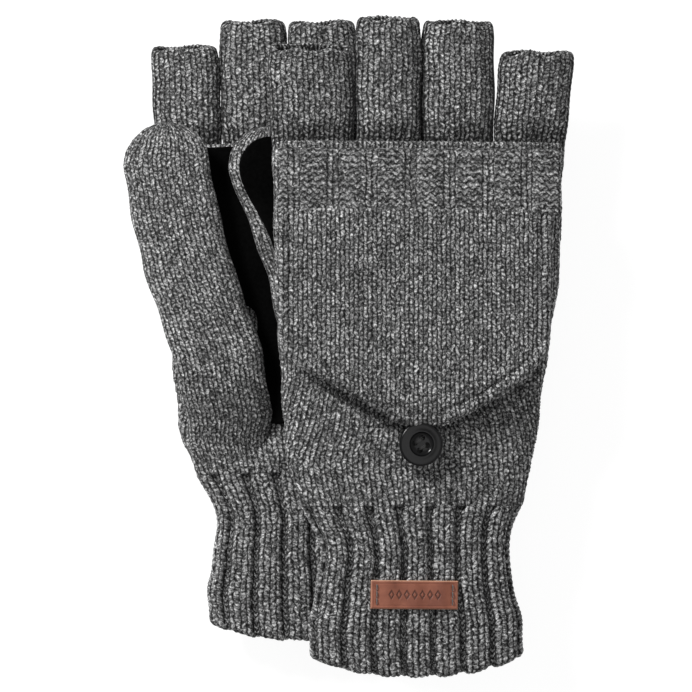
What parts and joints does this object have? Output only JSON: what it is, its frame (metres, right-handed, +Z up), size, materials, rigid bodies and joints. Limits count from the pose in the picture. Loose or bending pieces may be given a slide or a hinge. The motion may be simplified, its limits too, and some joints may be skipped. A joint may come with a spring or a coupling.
{
  "type": "pair of flip-top mittens",
  "caption": "Pair of knitted half-finger gloves whose mitten flaps button back on the hand or fold over the fingers.",
  "frame": {"origin": "centre of the pair's footprint, on the surface it lies on", "axes": "+Y from the cuffs to the fingertips, +X towards the little finger of the upper glove, +Z up off the surface"},
  "size_m": [0.1566, 0.2264, 0.0494],
  "materials": {
    "knit": "charcoal and pale grey heather knit, soft and matt",
    "rib_knit": "the same marled yarn in a wide rib",
    "suede": "black synthetic suede with a short nap",
    "button_plastic": "black, satin gloss",
    "thread": "dark polyester sewing thread",
    "elastic_cord": "dark covered elastic",
    "leather": "reddish tan leather, smooth grain"
  },
  "bodies": {
    "left_hand": {"left_hand_knit": "knit", "left_cuff_rib": "rib_knit", "left_index_stub": "knit", "left_middle_stub": "knit", "left_ring_stub": "knit", "left_little_stub": "knit", "left_thumb_knit": "knit", "left_thumb_patch": "suede", "left_palm_patch": "suede", "left_flap_base_seam": "knit"},
    "left_flap_back": {"left_flap_back_panel": "knit", "left_button_loop": "elastic_cord"},
    "left_flap_palm": {"left_flap_palm_panel": "knit", "left_flap_rib_hem": "rib_knit"},
    "left_button_group": {"left_button": "button_plastic", "left_button_thread": "thread"},
    "right_hand": {"right_hand_knit": "knit", "right_cuff_rib": "rib_knit", "right_index_stub": "knit", "right_middle_stub": "knit", "right_ring_stub": "knit", "right_little_stub": "knit", "right_thumb_knit": "knit", "right_thumb_patch": "suede", "right_palm_patch": "suede", "right_flap_base_seam": "knit", "right_leather_label": "leather", "right_label_stitches": "thread"},
    "right_flap_back": {"right_flap_back_panel": "knit", "right_button_loop": "elastic_cord"},
    "right_flap_palm": {"right_flap_palm_panel": "knit", "right_flap_rib_hem": "rib_knit"},
    "right_button_group": {"right_button": "button_plastic", "right_button_thread": "thread"}
  },
  "joints": [
    {"name": "right_glove_lift", "type": "slide", "parent": "left_hand", "child": "right_hand", "axis": [0, 0, 1], "range_m": [0, 0.08]},
    {"name": "right_flap_turn", "type": "hinge", "parent": "right_hand", "child": "right_flap_back", "pos_m": [0.02471, 0.0615, 0.03672], "axis": [-0.9848, 0, 0.1736], "range_deg": [0, 180], "deforming": ["right_button_loop"]},
    {"name": "right_flap_open", "type": "slide", "parent": "right_flap_back", "child": "right_flap_palm", "axis": [0.1736, 0, 0.9848], "range_m": [0, 0.0111], "deforming": ["right_flap_palm_panel", "right_flap_rib_hem"]},
    {"name": "right_button_tilt", "type": "hinge", "parent": "right_hand", "child": "right_button_group", "pos_m": [0.02516, -0.03349, 0.03522], "axis": [0.9848, 0, -0.1736], "range_deg": [0, 12], "stiffness_Nm_per_rad": 0.004},
    {"name": "left_flap_turn", "type": "hinge", "parent": "left_hand", "child": "left_flap_back", "pos_m": [-0.01597, 0.06225, 0.004], "axis": [0.9995, 0.0314, 0], "range_deg": [0, 180], "deforming": ["left_button_loop"]},
    {"name": "left_flap_open", "type": "slide", "parent": "left_flap_back", "child": "left_flap_palm", "axis": [0, 0, -1], "range_m": [0, 0.0111], "deforming": ["left_flap_palm_panel", "left_flap_rib_hem"]},
    {"name": "left_button_tilt", "type": "hinge", "parent": "left_hand", "child": "left_button_group", "pos_m": [-0.01261, -0.02218, 0.0054], "axis": [-0.9995, -0.0314, 0], "range_deg": [0, 12], "stiffness_Nm_per_rad": 0.004}
  ],
  "couplings": [
    {"joint": "right_flap_open", "follows": "right_flap_turn", "m_per_rad": 0.0035332},
    {"joint": "left_flap_open", "follows": "left_flap_turn", "m_per_rad": 0.0035332}
  ]
}
